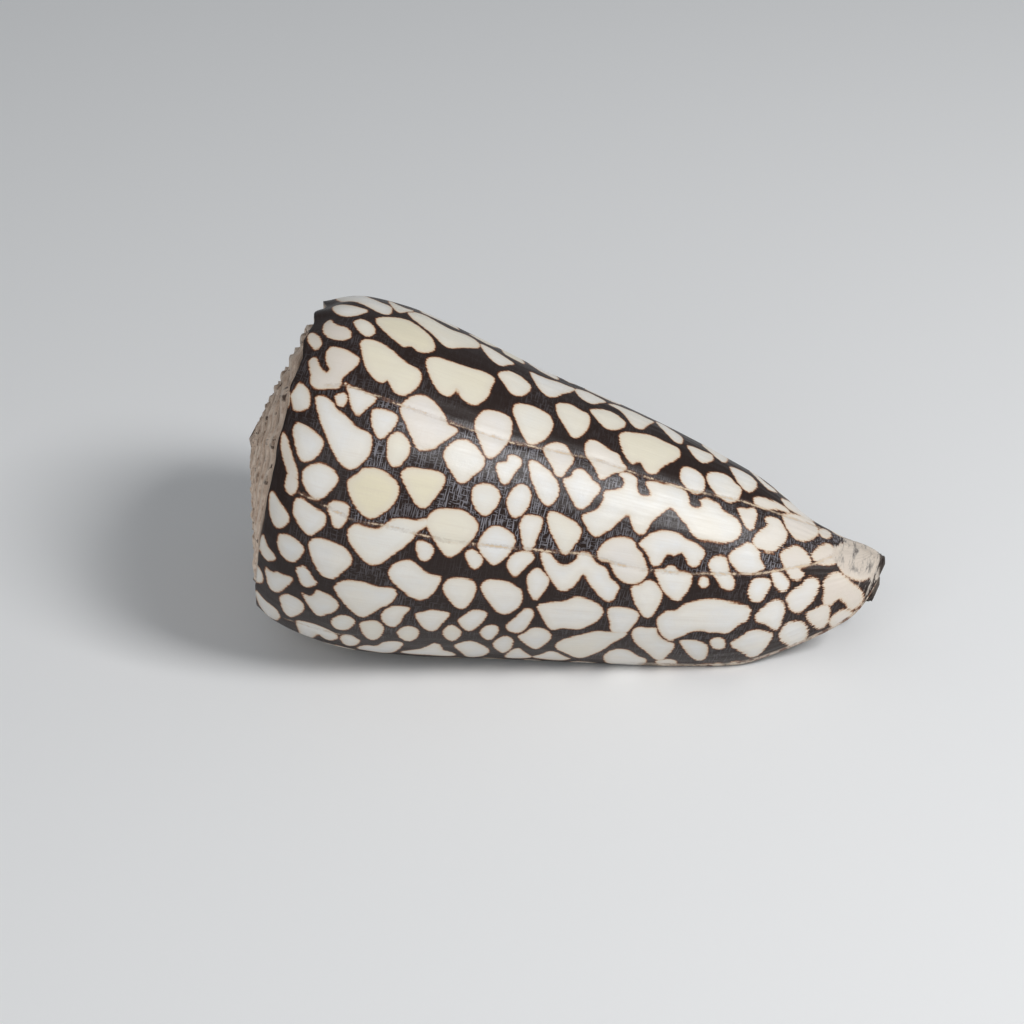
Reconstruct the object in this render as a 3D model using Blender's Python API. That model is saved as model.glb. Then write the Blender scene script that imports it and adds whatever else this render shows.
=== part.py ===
"""Marbled cone shell, lying on its aperture side: one grown wall wound into a cone.

The wall is a surface of growth. Every point of it has an age, counted in whorls back from the
lip (0 at the lip, -1 one turn earlier), and a place along the aperture, from 0 at the shoulder
to 1 at the anterior end. +Z is up and +X points to the narrow anterior end. Angles about the
spire axis run from straight up towards -Y, the side that the outer lip comes down on.
"""
import math

import bmesh
import bpy
import numpy as np
from mathutils import Matrix, Vector

# Driving dimensions, in metres
BODY_LENGTH = 0.0885
SPIRE_HEIGHT = 0.0072
WALL = 0.0015
SUTURE_DROP = 0.0009
CEILING_DROP = 0.0026
KNOB_HEIGHT = 0.0006
RAMP_HOLLOW = 0.0004
COLUMELLA_TIP = 0.0005

# How the shell lies, in degrees: the lip's angle from straight up, and the dip of the axis
LIP_ANGLE = 139.1
AXIS_DIP = 11.65

# Radius of the outer lip, at places along the aperture from shoulder to anterior end
LIP_PROFILE = (
    (0.00, 0.0239), (0.03, 0.0253), (0.08, 0.0264), (0.15, 0.0270), (0.25, 0.0261),
    (0.40, 0.0236), (0.55, 0.0212), (0.70, 0.0187), (0.80, 0.0165), (0.88, 0.0125),
    (0.94, 0.0091), (0.975, 0.0074), (1.00, 0.0050),
)
# How much of that radius is left one whorl earlier
WHORL_RATIO = (
    (0.00, 0.845), (0.05, 0.865), (0.15, 0.795), (0.35, 0.670), (0.55, 0.605), (0.75, 0.430),
    (0.88, 0.240), (1.00, 0.360),
)
# Extra fullness of the aperture side, where the last whorl covers the one before
UNDERSIDE_FULLNESS = (
    (0.00, 0.00), (0.15, 0.07), (0.35, 0.14), (0.55, 0.20), (0.75, 0.30),
    (0.88, 0.40), (1.00, 0.05),
)
FULLNESS_START = 0.50
FULLNESS_SPAN = 0.35

# The lip sweeps back around the anterior end as the siphonal notch, and a little at the shoulder
NOTCH_SWEEP = 1470.0
NOTCH_OFFSET = 4.0
NOTCH_POWER = 1.79
SHOULDER_SWEEP = 4.0
SHOULDER_SWEEP_END = 0.08

# Spire
WHORL_GROWTH = 1.25
WHORLS = 6.5
KNOBS_PER_WHORL = 18

# Mesh density: steps a whorl, how far back the open cavity runs, and rows along the aperture
STEPS = 72
CAVITY_STEPS = 42
ROWS = (0.16, 0.27, 0.38, 0.49, 0.60, 0.70, 0.78, 0.84, 0.885, 0.92, 0.945, 0.965, 0.982, 1.0)
SHOULDER_ROWS = (0.055, 0.095)

SHELL_COLOUR = (0.62, 0.56, 0.47, 1.0)


def clear_scene():
    for item in list(bpy.data.objects):
        bpy.data.objects.remove(item, do_unlink=True)


def smooth_curve(knots, where):
    """Value of a smooth curve through the knots that never overshoots them."""
    x = np.array([knot[0] for knot in knots])
    y = np.array([knot[1] for knot in knots])
    step = np.diff(x)
    slope = np.diff(y) / step
    tangent = np.zeros(len(x))
    tangent[0] = slope[0]
    tangent[-1] = slope[-1]
    for k in range(1, len(x) - 1):
        if slope[k - 1] * slope[k] > 0:
            before = 2 * step[k] + step[k - 1]
            after = step[k] + 2 * step[k - 1]
            tangent[k] = (before + after) / (before / slope[k - 1] + after / slope[k])
    place = float(np.clip(where, x[0], x[-1]))
    k = int(np.clip(np.searchsorted(x, place) - 1, 0, len(step) - 1))
    t = (place - x[k]) / step[k]
    return (
        y[k] * (1 + 2 * t) * (1 - t) ** 2
        + tangent[k] * step[k] * t * (1 - t) ** 2
        + y[k + 1] * t * t * (3 - 2 * t)
        + tangent[k + 1] * step[k] * t * t * (t - 1)
    )


def smooth_step(t):
    t = min(max(t, 0.0), 1.0)
    return t * t * (3 - 2 * t)


def sweep(along):
    """Degrees by which the lip lags behind, at this place along the aperture."""
    from_tip = 1000 * BODY_LENGTH * (1 - along)
    notch = NOTCH_SWEEP / (from_tip + NOTCH_OFFSET) ** NOTCH_POWER
    shoulder = SHOULDER_SWEEP * max(1 - along / SHOULDER_SWEEP_END, 0) ** 2
    return notch + shoulder


def outer_radius(age, along):
    ratio = smooth_curve(WHORL_RATIO, along)
    full = smooth_curve(UNDERSIDE_FULLNESS, along)
    swell = 1 + full * smooth_step((-age - FULLNESS_START) / FULLNESS_SPAN)
    return smooth_curve(LIP_PROFILE, along) * ratio ** (-age) * swell


def crest_radius(age):
    """Shoulder radius: slower growth over the last whorl, an even spiral before it."""
    if age >= -1:
        return outer_radius(age, 0.0)
    return outer_radius(-1.0, 0.0) * WHORL_GROWTH ** (age + 1)


def crest_height(age):
    return BODY_LENGTH + SPIRE_HEIGHT * (1 - WHORL_GROWTH ** age)


def wall_thickness(age, along):
    """Full thickness where the cavity is wide, thinner where two whorls come close."""
    room = outer_radius(age, along) - outer_radius(age - 1, along)
    return 1 / (1 / WALL + 1.6 / room)


def place(height, radius, age, along):
    """Point of the resting shell from a height on the axis, a radius and an age."""
    angle = math.radians(LIP_ANGLE + 360 * age - sweep(along))
    dip = math.radians(AXIS_DIP)
    side = -radius * math.sin(angle)
    up = radius * math.cos(angle)
    return Vector((
        -height * math.cos(dip) + up * math.sin(dip),
        side,
        height * math.sin(dip) + up * math.cos(dip),
    ))


def knob(step):
    """Height of the shoulder's knobs at this step, growing towards the older whorls."""
    age = -step / STEPS
    size = KNOB_HEIGHT * min(0.5 - 0.5 * age, 1.0) * WHORL_GROWTH ** (age / 2)
    return size * max(math.cos(2 * math.pi * KNOBS_PER_WHORL * age), 0)


def crest_point(step):
    age = -step / STEPS
    bump = knob(step)
    return place(crest_height(age) + bump, crest_radius(age) + 0.4 * bump, age, 0.0)


def suture_point(step):
    """Foot of the older whorl's riser, where the ramp of this step ends."""
    older = -step / STEPS - 1
    shrink = crest_radius(older) / crest_radius(-1.0)
    foot = outer_radius(-1.0, SUTURE_DROP / BODY_LENGTH)
    height = crest_height(older) - SUTURE_DROP * shrink
    return place(height, foot * shrink, older, 0.0)


def ramp_middle_point(step):
    """Middle of the sutural ramp, slightly hollow."""
    age = -step / STEPS
    outer_edge = place(crest_height(age), crest_radius(age), age, 0.0)
    hollow = place(-RAMP_HOLLOW * WHORL_GROWTH ** age, 0.0, 0.0, 0.0)
    return (outer_edge + suture_point(step)) / 2 + hollow


def body_point(step, along):
    age = -step / STEPS
    return place(crest_height(age) * (1 - along), outer_radius(age, along), age, along)


def inner_point(step, along):
    age = -step / STEPS
    radius = outer_radius(age, along) - wall_thickness(age, along)
    return place(crest_height(age) * (1 - along), radius, age, along)


class Wall:
    """Vertices and faces of the closed wall, each vertex made once under its own name."""

    def __init__(self):
        self.bm = bmesh.new()
        self.vertices = {}
        rows = (SUTURE_DROP / BODY_LENGTH, CEILING_DROP / BODY_LENGTH)
        self.along = (0.0,) + rows + SHOULDER_ROWS + ROWS
        self.last = len(self.along) - 1

    def vertex(self, name, make, *values):
        if name not in self.vertices:
            self.vertices[name] = self.bm.verts.new(make(*values))
        return self.vertices[name]

    def outer(self, step, row):
        if row == 0:
            return self.crest(step)
        return self.vertex(("outer", step, row), body_point, step, self.along[row])

    def inner(self, step, row):
        return self.vertex(("inner", step, row), inner_point, step, self.along[row])

    def crest(self, step):
        return self.vertex(("crest", step), crest_point, step)

    def suture(self, step):
        if step == 0:
            return self.outer(STEPS, 1)
        return self.vertex(("suture", step), suture_point, step)

    def ramp_middle(self, step):
        return self.vertex(("ramp", step), ramp_middle_point, step)

    def quad(self, a, b, c, d):
        self.bm.faces.new((a, b, c))
        self.bm.faces.new((a, c, d))


def add_body(wall):
    """Last whorl from the lip back, and the older whorl that forms the inner side."""
    for step in range(STEPS + CAVITY_STEPS):
        first = 0 if step < STEPS else 2
        for row in range(first, wall.last):
            wall.quad(
                wall.outer(step, row), wall.outer(step, row + 1),
                wall.outer(step + 1, row + 1), wall.outer(step + 1, row),
            )


def add_cavity(wall):
    """Inner face of the last whorl, the ceiling under the ramp and the cavity's blind end."""
    for step in range(CAVITY_STEPS):
        for row in range(2, wall.last):
            wall.quad(
                wall.inner(step, row), wall.inner(step + 1, row),
                wall.inner(step + 1, row + 1), wall.inner(step, row + 1),
            )
        wall.quad(
            wall.inner(step, 2), wall.outer(STEPS + step, 2),
            wall.outer(STEPS + step + 1, 2), wall.inner(step + 1, 2),
        )
    for row in range(2, wall.last):
        wall.quad(
            wall.inner(CAVITY_STEPS, row), wall.outer(STEPS + CAVITY_STEPS, row),
            wall.outer(STEPS + CAVITY_STEPS, row + 1), wall.inner(CAVITY_STEPS, row + 1),
        )


def add_lip(wall):
    """Edge of the outer lip, and the end of the ramp above it."""
    for row in range(2, wall.last):
        wall.quad(
            wall.outer(0, row), wall.inner(0, row),
            wall.inner(0, row + 1), wall.outer(0, row + 1),
        )
    end = (
        wall.crest(0), wall.ramp_middle(0), wall.suture(0), wall.outer(STEPS, 2),
        wall.inner(0, 2), wall.outer(0, 2), wall.outer(0, 1),
    )
    wall.bm.faces.new(end)


def add_anterior_end(wall):
    """Edge of the siphonal notch, and the tip of the columella."""
    for step in range(CAVITY_STEPS):
        wall.quad(
            wall.outer(step, wall.last), wall.inner(step, wall.last),
            wall.inner(step + 1, wall.last), wall.outer(step + 1, wall.last),
        )
    ring = [wall.outer(step, wall.last) for step in range(CAVITY_STEPS, STEPS + CAVITY_STEPS + 1)]
    ring.append(wall.inner(CAVITY_STEPS, wall.last))
    tip = wall.vertex(("tip",), place, -COLUMELLA_TIP, 0.0, 0.0, 1.0)
    for here, there in zip(ring, ring[1:] + ring[:1]):
        wall.bm.faces.new((here, tip, there))


def add_spire(wall):
    """Ramps and risers wound in to the apex."""
    total = round(WHORLS * STEPS)
    for step in range(total):
        wall.quad(
            wall.crest(step), wall.crest(step + 1),
            wall.ramp_middle(step + 1), wall.ramp_middle(step),
        )
        wall.quad(
            wall.ramp_middle(step), wall.ramp_middle(step + 1),
            wall.suture(step + 1), wall.suture(step),
        )
        if step + STEPS < total:
            wall.quad(
                wall.suture(step), wall.suture(step + 1),
                wall.crest(STEPS + step + 1), wall.crest(STEPS + step),
            )
    ring = [wall.suture(step) for step in range(total - STEPS, total + 1)]
    ring += [wall.ramp_middle(total), wall.crest(total)]
    apex = wall.vertex(("apex",), place, BODY_LENGTH + SPIRE_HEIGHT, 0.0, 0.0, 0.0)
    for here, there in zip(ring, ring[1:] + ring[:1]):
        wall.bm.faces.new((here, there, apex))


def stand_on_origin(bm):
    """Lowest point at z = 0, middle of the outline over the origin."""
    points = np.array([vertex.co for vertex in bm.verts])
    low = points.min(axis=0)
    high = points.max(axis=0)
    shift = Vector((-(low[0] + high[0]) / 2, -(low[1] + high[1]) / 2, -low[2]))
    bmesh.ops.transform(bm, matrix=Matrix.Translation(shift), verts=bm.verts)


def shell_material():
    material = bpy.data.materials.new("shell")
    material.use_nodes = True
    surface = material.node_tree.nodes["Principled BSDF"]
    surface.inputs["Base Color"].default_value = SHELL_COLOUR
    surface.inputs["Roughness"].default_value = 0.3
    surface.inputs["Metallic"].default_value = 0.0
    return material


def build_shell():
    wall = Wall()
    add_body(wall)
    add_cavity(wall)
    add_lip(wall)
    add_anterior_end(wall)
    add_spire(wall)
    bmesh.ops.triangulate(wall.bm, faces=[face for face in wall.bm.faces if len(face.verts) > 3])
    bmesh.ops.recalc_face_normals(wall.bm, faces=wall.bm.faces)
    if wall.bm.calc_volume(signed=True) < 0:
        bmesh.ops.reverse_faces(wall.bm, faces=wall.bm.faces)
    stand_on_origin(wall.bm)
    mesh = bpy.data.meshes.new("shell")
    wall.bm.to_mesh(mesh)
    wall.bm.free()
    mesh.materials.append(shell_material())
    mesh.shade_smooth()
    mesh.set_sharp_from_angle(angle=math.radians(40))
    shell = bpy.data.objects.new("shell", mesh)
    bpy.context.collection.objects.link(shell)


clear_scene()
build_shell()
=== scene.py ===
"""Marbled cone shell from the photograph: grown wall, marbled pattern, worn spire and tip."""

import math

import bpy
import numpy as np
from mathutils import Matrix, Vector
from mathutils.bvhtree import BVHTree


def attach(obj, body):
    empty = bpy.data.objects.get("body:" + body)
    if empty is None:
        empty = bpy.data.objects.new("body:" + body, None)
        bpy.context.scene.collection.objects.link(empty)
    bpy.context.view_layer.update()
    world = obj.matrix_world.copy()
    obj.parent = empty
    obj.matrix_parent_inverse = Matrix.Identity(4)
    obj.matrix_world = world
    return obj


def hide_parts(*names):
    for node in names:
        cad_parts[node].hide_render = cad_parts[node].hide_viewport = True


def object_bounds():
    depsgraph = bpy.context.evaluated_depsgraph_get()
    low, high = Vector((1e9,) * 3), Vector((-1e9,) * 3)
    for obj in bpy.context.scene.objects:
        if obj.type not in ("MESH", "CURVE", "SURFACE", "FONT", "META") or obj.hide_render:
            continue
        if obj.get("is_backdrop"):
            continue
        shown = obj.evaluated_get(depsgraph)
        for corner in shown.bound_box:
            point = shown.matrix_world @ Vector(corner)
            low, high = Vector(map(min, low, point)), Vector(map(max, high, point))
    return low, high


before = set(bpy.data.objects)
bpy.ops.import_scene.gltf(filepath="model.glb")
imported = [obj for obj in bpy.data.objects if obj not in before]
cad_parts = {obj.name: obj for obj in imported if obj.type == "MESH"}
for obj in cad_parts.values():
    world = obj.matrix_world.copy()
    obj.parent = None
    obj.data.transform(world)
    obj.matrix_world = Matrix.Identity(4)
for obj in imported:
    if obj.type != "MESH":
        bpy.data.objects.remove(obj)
cad_low, cad_high = [list(corner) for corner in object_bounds()]

# The growing wall, in metres and degrees. The lip's radii and the ratios come from a least-squares
# fit to the shell's outline in the photograph, rounded, with some changed afterwards.
BODY_LENGTH = 0.0885
SPIRE_HEIGHT = 0.0072
WALL = 0.0015
SUTURE_DROP = 0.0009
CEILING_DROP = 0.0026
RAMP_HOLLOW = 0.0004
COLUMELLA_TIP = 0.0005
LIP_ANGLE = 139.1
AXIS_DIP = 11.65
LIP_PROFILE = (
    (0.00, 0.0239), (0.03, 0.0253), (0.08, 0.0264), (0.15, 0.0270), (0.25, 0.0261),
    (0.40, 0.0236), (0.55, 0.0212), (0.70, 0.0187), (0.80, 0.0165), (0.88, 0.0125),
    (0.94, 0.0091), (0.975, 0.0074), (1.00, 0.0050),
)
WHORL_RATIO = (
    (0.00, 0.845), (0.05, 0.865), (0.15, 0.795), (0.35, 0.670), (0.55, 0.605), (0.75, 0.430),
    (0.88, 0.240), (1.00, 0.360),
)
UNDERSIDE_FULLNESS = (
    (0.00, 0.00), (0.15, 0.07), (0.35, 0.14), (0.55, 0.20), (0.75, 0.30),
    (0.88, 0.40), (1.00, 0.05),
)
FULLNESS_START = 0.50
FULLNESS_SPAN = 0.35
NOTCH_SWEEP = 1470.0
NOTCH_OFFSET = 4.0
NOTCH_POWER = 1.79
SHOULDER_SWEEP = 4.0
SHOULDER_SWEEP_END = 0.08
WHORL_GROWTH = 1.25
WHORLS = 10.5
CAVITY_AGE = 7 / 12
WALL_CROWDING = 1.6

# Mesh density
FINE_AGE = 0.6
FINE_STEPS = 200
COARSE_STEPS = 80
INNER_STEPS = 60
BODY_ROWS = 172
EDGE_ROWS = 3
RAMP_ROWS = 5

# Shoulder knobs
KNOB_HEIGHT = 0.0007
KNOBS_PER_WHORL = 18
KNOBS_KEPT_AT = -30.0
KNOBS_WORN = 0.25
KNOB_AT_LIP = 0.4
KNOB_GAIN = 0.6
KNOB_SHARPNESS = 1.5
KNOB_LEAN = 0.4
KNOB_SWELL = 0.6
KNOB_REACH = 1.6

# Camera, from a least-squares fit to the same outline: a point looked at in the wall's own coordinates
LOOK_AT = (-0.045, 0.0, 0.008)
CAMERA_YAW = 6.087
CAMERA_ELEVATION = 34.185
CAMERA_DISTANCE = 0.3598
CAMERA_LENS = 85.0
SENSOR_WIDTH = 36.0
PHOTO_SIZE = 1024
PHOTO_OFFSET = (64.07, 9.60)

# Pale patches of the visible side, as corner points read in photograph pixels. They are
# laid on the shell along the camera's rays, so that each lies where the photograph shows it.
# After each tint (0 white, 1 cream, -1 pinkish) the outline goes round the patch.
PALE_PATCHES = (
    (0, (332, 298), (345, 294), (360, 295), (370, 298), (380, 302), (390, 306), (392, 311), (388, 315),
      (380, 313), (372, 309), (362, 304), (350, 301), (338, 301)),
    (0, (331, 306), (340, 304), (355, 306), (365, 309), (368, 311), (362, 314), (350, 316), (340, 315),
      (334, 312)),
    (-0.6, (324, 321), (330, 320), (336, 325), (345, 327), (350, 331), (351, 337), (345, 340), (336, 340),
      (328, 337), (323, 331)),
    (0.3, (354, 321), (362, 319), (370, 323), (375, 329), (374, 334), (368, 337), (361, 333), (356, 327)),
    (-0.5, (308, 335), (313, 333), (319, 337), (321, 343), (316, 349), (311, 348), (308, 342)),
    (-0.5, (328, 349), (333, 347), (342, 349), (350, 352), (358, 357), (359, 362), (354, 368), (348, 373),
      (342, 378), (341, 384), (338, 388), (330, 388), (323, 389), (316, 389), (311, 384), (311, 375),
      (309, 366), (308, 360), (312, 357), (316, 359), (320, 367), (326, 373), (330, 370), (327, 363),
      (326, 355)),
    (0.7, (361, 341), (372, 340), (384, 345), (393, 351), (403, 360), (412, 366), (420, 371), (421, 380),
      (416, 388), (408, 394), (400, 395), (393, 390), (387, 380), (384, 383), (378, 382), (371, 375),
      (365, 365), (362, 352)),
    (0.9, (377, 318), (388, 317), (400, 318), (412, 322), (422, 329), (431, 337), (435, 345), (433, 351),
      (425, 353), (417, 351), (411, 346), (404, 347), (398, 343), (390, 336), (382, 329), (377, 323)),
    (0.3, (388, 301), (396, 304), (405, 308), (414, 311), (406, 312), (400, 313), (395, 310)),
    (-0.3, (335, 396), (340, 394), (345, 393), (347, 399), (344, 406), (339, 406), (336, 401)),
    (0, (345, 382), (350, 386), (358, 389), (366, 392), (376, 397), (374, 402), (368, 407), (363, 412),
      (358, 416), (353, 410), (350, 402), (349, 394)),
    (0, (316, 397), (324, 396), (332, 402), (337, 410), (345, 415), (351, 422), (358, 428), (366, 431),
      (371, 436), (372, 446), (368, 456), (361, 464), (353, 469), (346, 468), (338, 460), (331, 447),
      (326, 434), (321, 422), (317, 408)),
    (0, (372, 411), (378, 409), (386, 410), (394, 413), (398, 418), (394, 427), (387, 435), (380, 439),
      (375, 433), (372, 424)),
    (0.5, (388, 440), (392, 434), (398, 432), (404, 435), (409, 442), (410, 450), (406, 459), (400, 465),
      (393, 467), (388, 460), (387, 450)),
    (0, (300, 382), (304, 385), (309, 392), (310, 400), (308, 408), (300, 411), (294, 410), (292, 402),
      (291, 395), (295, 389)),
    (0, (296, 423), (302, 424), (309, 428), (317, 434), (323, 441), (322, 449), (317, 456), (310, 461),
      (302, 461), (297, 452), (294, 440), (293, 430)),
    (0.4, (408, 313), (414, 312), (424, 315), (434, 320), (444, 326), (452, 330), (464, 334), (474, 339),
      (480, 345), (478, 348), (470, 348), (460, 348), (448, 348), (440, 342), (432, 334), (422, 326),
      (412, 318)),
    (0, (480, 344), (490, 348), (500, 354), (509, 360), (514, 364), (508, 365), (500, 366), (493, 361),
      (486, 354)),
    (0.7, (427, 359), (436, 357), (446, 360), (458, 364), (470, 368), (482, 371), (492, 376), (495, 380),
      (491, 388), (488, 396), (482, 402), (475, 405), (468, 403), (461, 397), (458, 390), (456, 390),
      (450, 396), (442, 394), (435, 386), (430, 376), (427, 367)),
    (0.3, (498, 373), (508, 371), (516, 374), (524, 379), (530, 385), (530, 390), (526, 394), (520, 396),
      (512, 394), (507, 388), (502, 381)),
    (0, (530, 372), (538, 375), (548, 379), (558, 382), (568, 386), (575, 389), (571, 392), (562, 394),
      (556, 397), (549, 397), (542, 392), (536, 384)),
    (0, (575, 389), (585, 391), (596, 396), (606, 402), (600, 403), (592, 404), (584, 400), (578, 395)),
    (-0.4, (409, 398), (418, 395), (427, 397), (435, 403), (442, 411), (446, 418), (448, 424), (455, 427),
      (458, 431), (452, 436), (446, 440), (440, 444), (434, 449), (425, 450), (419, 450), (414, 443),
      (410, 434), (406, 424), (401, 414), (401, 406)),
    (-0.3, (483, 411), (490, 410), (500, 412), (508, 416), (512, 422), (512, 430), (510, 438), (505, 446),
      (498, 454), (492, 458), (486, 456), (482, 447), (478, 437), (475, 428), (476, 419)),
    (0.3, (515, 405), (522, 404), (532, 406), (542, 411), (550, 416), (553, 424), (551, 431), (546, 438),
      (540, 442), (534, 444), (528, 443), (524, 437), (520, 430), (516, 420), (513, 411)),
    (0.1, (452, 443), (458, 440), (466, 440), (473, 444), (479, 450), (484, 458), (484, 466), (478, 472),
      (471, 477), (466, 482), (459, 483), (455, 477), (450, 470), (445, 461), (444, 451)),
    (0.9, (403, 470), (412, 468), (422, 469), (434, 470), (444, 475), (445, 482), (440, 491), (434, 499),
      (427, 507), (421, 508), (415, 503), (409, 493), (404, 483), (401, 476)),
    (0, (498, 463), (507, 462), (508, 456), (514, 455), (521, 459), (521, 465), (516, 471), (512, 477),
      (507, 484), (502, 483), (498, 474), (496, 467)),
    (0.2, (474, 487), (482, 484), (490, 485), (497, 489), (500, 496), (497, 505), (491, 512), (485, 516),
      (478, 511), (473, 502), (472, 494)),
    (0, (508, 497), (513, 489), (520, 484), (527, 486), (531, 493), (530, 502), (526, 510), (520, 516),
      (513, 517), (509, 511), (507, 504)),
    (0, (529, 461), (537, 462), (543, 466), (550, 472), (556, 480), (559, 488), (558, 496), (554, 502),
      (549, 506), (543, 503), (538, 495), (533, 484), (530, 473)),
    (0, (524, 516), (532, 515), (540, 517), (543, 521), (540, 531), (536, 540), (533, 549), (527, 552),
      (523, 546), (521, 535), (520, 525)),
    (0.3, (548, 513), (556, 512), (566, 517), (575, 522), (581, 529), (580, 537), (575, 544), (571, 550),
      (566, 555), (561, 552), (557, 544), (552, 535), (548, 524)),
    (0.2, (349, 529), (356, 524), (366, 527), (378, 529), (386, 524), (391, 520), (403, 518), (415, 520),
      (427, 519), (430, 524), (424, 528), (418, 532), (412, 540), (402, 548), (392, 555), (384, 561),
      (375, 565), (367, 563), (360, 556), (353, 547), (348, 538)),
    (0.5, (427, 519), (432, 512), (440, 509), (452, 509), (462, 510), (470, 515), (478, 524), (477, 531),
      (472, 539), (466, 546), (459, 552), (452, 557), (446, 556), (440, 549), (434, 540), (429, 531),
      (425, 524)),
    (0, (416, 542), (424, 541), (431, 545), (434, 550), (431, 557), (426, 561), (420, 559), (417, 551)),
    (0.1, (389, 570), (396, 563), (404, 560), (411, 560), (418, 565), (425, 572), (434, 575), (441, 577),
      (439, 584), (434, 592), (427, 598), (420, 600), (411, 597), (402, 590), (394, 583), (390, 577)),
    (0, (484, 533), (491, 527), (499, 526), (507, 530), (514, 536), (515, 543), (511, 551), (505, 558),
      (499, 563), (493, 565), (487, 560), (481, 553), (478, 545)),
    (0, (466, 552), (472, 549), (478, 553), (483, 559), (480, 566), (474, 569), (469, 564), (466, 558)),
    (0, (508, 560), (515, 553), (524, 551), (532, 553), (534, 559), (528, 565), (522, 571), (516, 577),
      (510, 573), (507, 566)),
    (0, (527, 577), (532, 571), (538, 568), (544, 573), (549, 579), (547, 587), (542, 594), (537, 600),
      (532, 598), (528, 589)),
    (0.1, (444, 584), (449, 579), (458, 578), (466, 579), (474, 582), (476, 589), (473, 598), (468, 605),
      (462, 609), (455, 606), (448, 598), (443, 590)),
    (0, (481, 585), (488, 580), (498, 580), (508, 582), (516, 586), (522, 592), (522, 600), (519, 607),
      (512, 612), (504, 614), (496, 611), (489, 602), (483, 593)),
    (0, (304, 469), (311, 465), (319, 463), (328, 466), (335, 472), (338, 479), (334, 487), (329, 492),
      (323, 498), (317, 500), (311, 497), (307, 491), (304, 484), (302, 476)),
    (1, (349, 479), (357, 475), (362, 469), (370, 468), (379, 469), (388, 474), (396, 481), (399, 489),
      (397, 498), (390, 508), (381, 514), (372, 519), (364, 516), (357, 508), (351, 498), (348, 488)),
    (0, (295, 500), (301, 498), (308, 503), (316, 509), (324, 513), (326, 519), (323, 527), (316, 532),
      (310, 536), (303, 530), (297, 521), (293, 512)),
    (-0.2, (328, 505), (333, 501), (341, 502), (348, 505), (349, 511), (347, 519), (342, 526), (338, 528),
      (333, 525), (331, 517), (328, 511)),
    (0, (270, 493), (274, 492), (279, 501), (285, 509), (289, 517), (287, 524), (281, 528), (275, 527),
      (271, 518), (269, 507)),
    (-0.4, (290, 470), (296, 478), (298, 485), (296, 492), (291, 495), (286, 490), (285, 482)),
    (0, (278, 536), (285, 534), (292, 537), (300, 543), (304, 550), (300, 557), (294, 562), (288, 561),
      (282, 555), (278, 546)),
    (0, (309, 542), (317, 538), (326, 540), (336, 544), (344, 548), (350, 555), (352, 562), (347, 568),
      (341, 573), (335, 578), (328, 578), (320, 573), (314, 563), (310, 552)),
    (0, (259, 543), (263, 534), (267, 545), (272, 552), (276, 558), (272, 561), (266, 560), (261, 552)),
    (0, (253, 565), (255, 557), (258, 565), (262, 573), (263, 581), (258, 583), (254, 577), (252, 572)),
    (0, (265, 567), (269, 570), (273, 573), (276, 571), (284, 575), (292, 578), (291, 583), (286, 587),
      (281, 591), (275, 592), (270, 588), (267, 580)),
    (0, (296, 568), (303, 566), (309, 571), (313, 578), (317, 583), (313, 586), (306, 587), (301, 583),
      (298, 576)),
    (0, (301, 592), (308, 596), (313, 595), (317, 590), (324, 593), (331, 596), (337, 602), (338, 607),
      (334, 612), (327, 614), (319, 616), (314, 612), (309, 606), (304, 598)),
    (0.1, (334, 587), (343, 581), (353, 581), (365, 583), (378, 587), (390, 588), (396, 591), (395, 598),
      (389, 604), (380, 608), (372, 613), (364, 617), (357, 615), (349, 608), (341, 599)),
    (0, (280, 597), (287, 594), (294, 597), (301, 601), (304, 607), (302, 612), (295, 616), (290, 617),
      (284, 612), (281, 604)),
    (0, (254, 588), (258, 592), (264, 599), (271, 605), (277, 610), (280, 616), (277, 620), (271, 618),
      (265, 613), (259, 604), (256, 596)),
    (0.2, (331, 621), (337, 616), (345, 615), (352, 618), (355, 622), (350, 628), (343, 630), (335, 628)),
    (0.3, (360, 623), (367, 621), (376, 621), (383, 626), (383, 632), (378, 638), (372, 640), (365, 636),
      (361, 629)),
    (0, (296, 621), (306, 622), (314, 624), (324, 628), (332, 632), (338, 637), (334, 640), (328, 640),
      (322, 637), (318, 634), (314, 637), (308, 638), (302, 636), (299, 631)),
    (0, (340, 637), (348, 635), (356, 638), (360, 641), (356, 645), (350, 646), (344, 644)),
    (0, (357, 648), (366, 645), (376, 646), (384, 642), (394, 641), (403, 643), (400, 648), (394, 652),
      (384, 653), (370, 651)),
    (0, (382, 613), (388, 608), (396, 606), (406, 607), (410, 609), (404, 615), (400, 622), (394, 627),
      (387, 625), (382, 619)),
    (0.2, (397, 632), (403, 627), (411, 626), (418, 630), (418, 636), (411, 641), (404, 640), (399, 636)),
    (0, (415, 614), (424, 612), (430, 610), (440, 611), (450, 614), (444, 621), (438, 628), (432, 631),
      (424, 628), (419, 622)),
    (0.2, (443, 632), (449, 625), (455, 626), (461, 632), (458, 638), (452, 641), (446, 638)),
    (0, (458, 620), (465, 615), (470, 611), (478, 610), (487, 613), (484, 620), (477, 627), (470, 631),
      (463, 628)),
    (0, (480, 632), (486, 626), (494, 625), (499, 629), (495, 636), (490, 640), (484, 638)),
    (0, (507, 624), (514, 619), (519, 614), (524, 609), (531, 609), (534, 614), (530, 622), (525, 629),
      (519, 633), (511, 632), (507, 629)),
    (0, (493, 644), (499, 638), (506, 636), (513, 640), (511, 648), (504, 653), (497, 650)),
    (0, (454, 646), (460, 643), (470, 641), (480, 644), (487, 648), (489, 652), (482, 656), (468, 657),
      (461, 652)),
    (0, (400, 652), (410, 650), (420, 649), (428, 646), (434, 643), (440, 645), (443, 650), (450, 652),
      (456, 655), (446, 656), (430, 655), (412, 654)),
    (0, (505, 656), (512, 650), (519, 648), (524, 652), (532, 657), (522, 658), (510, 658)),
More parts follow.
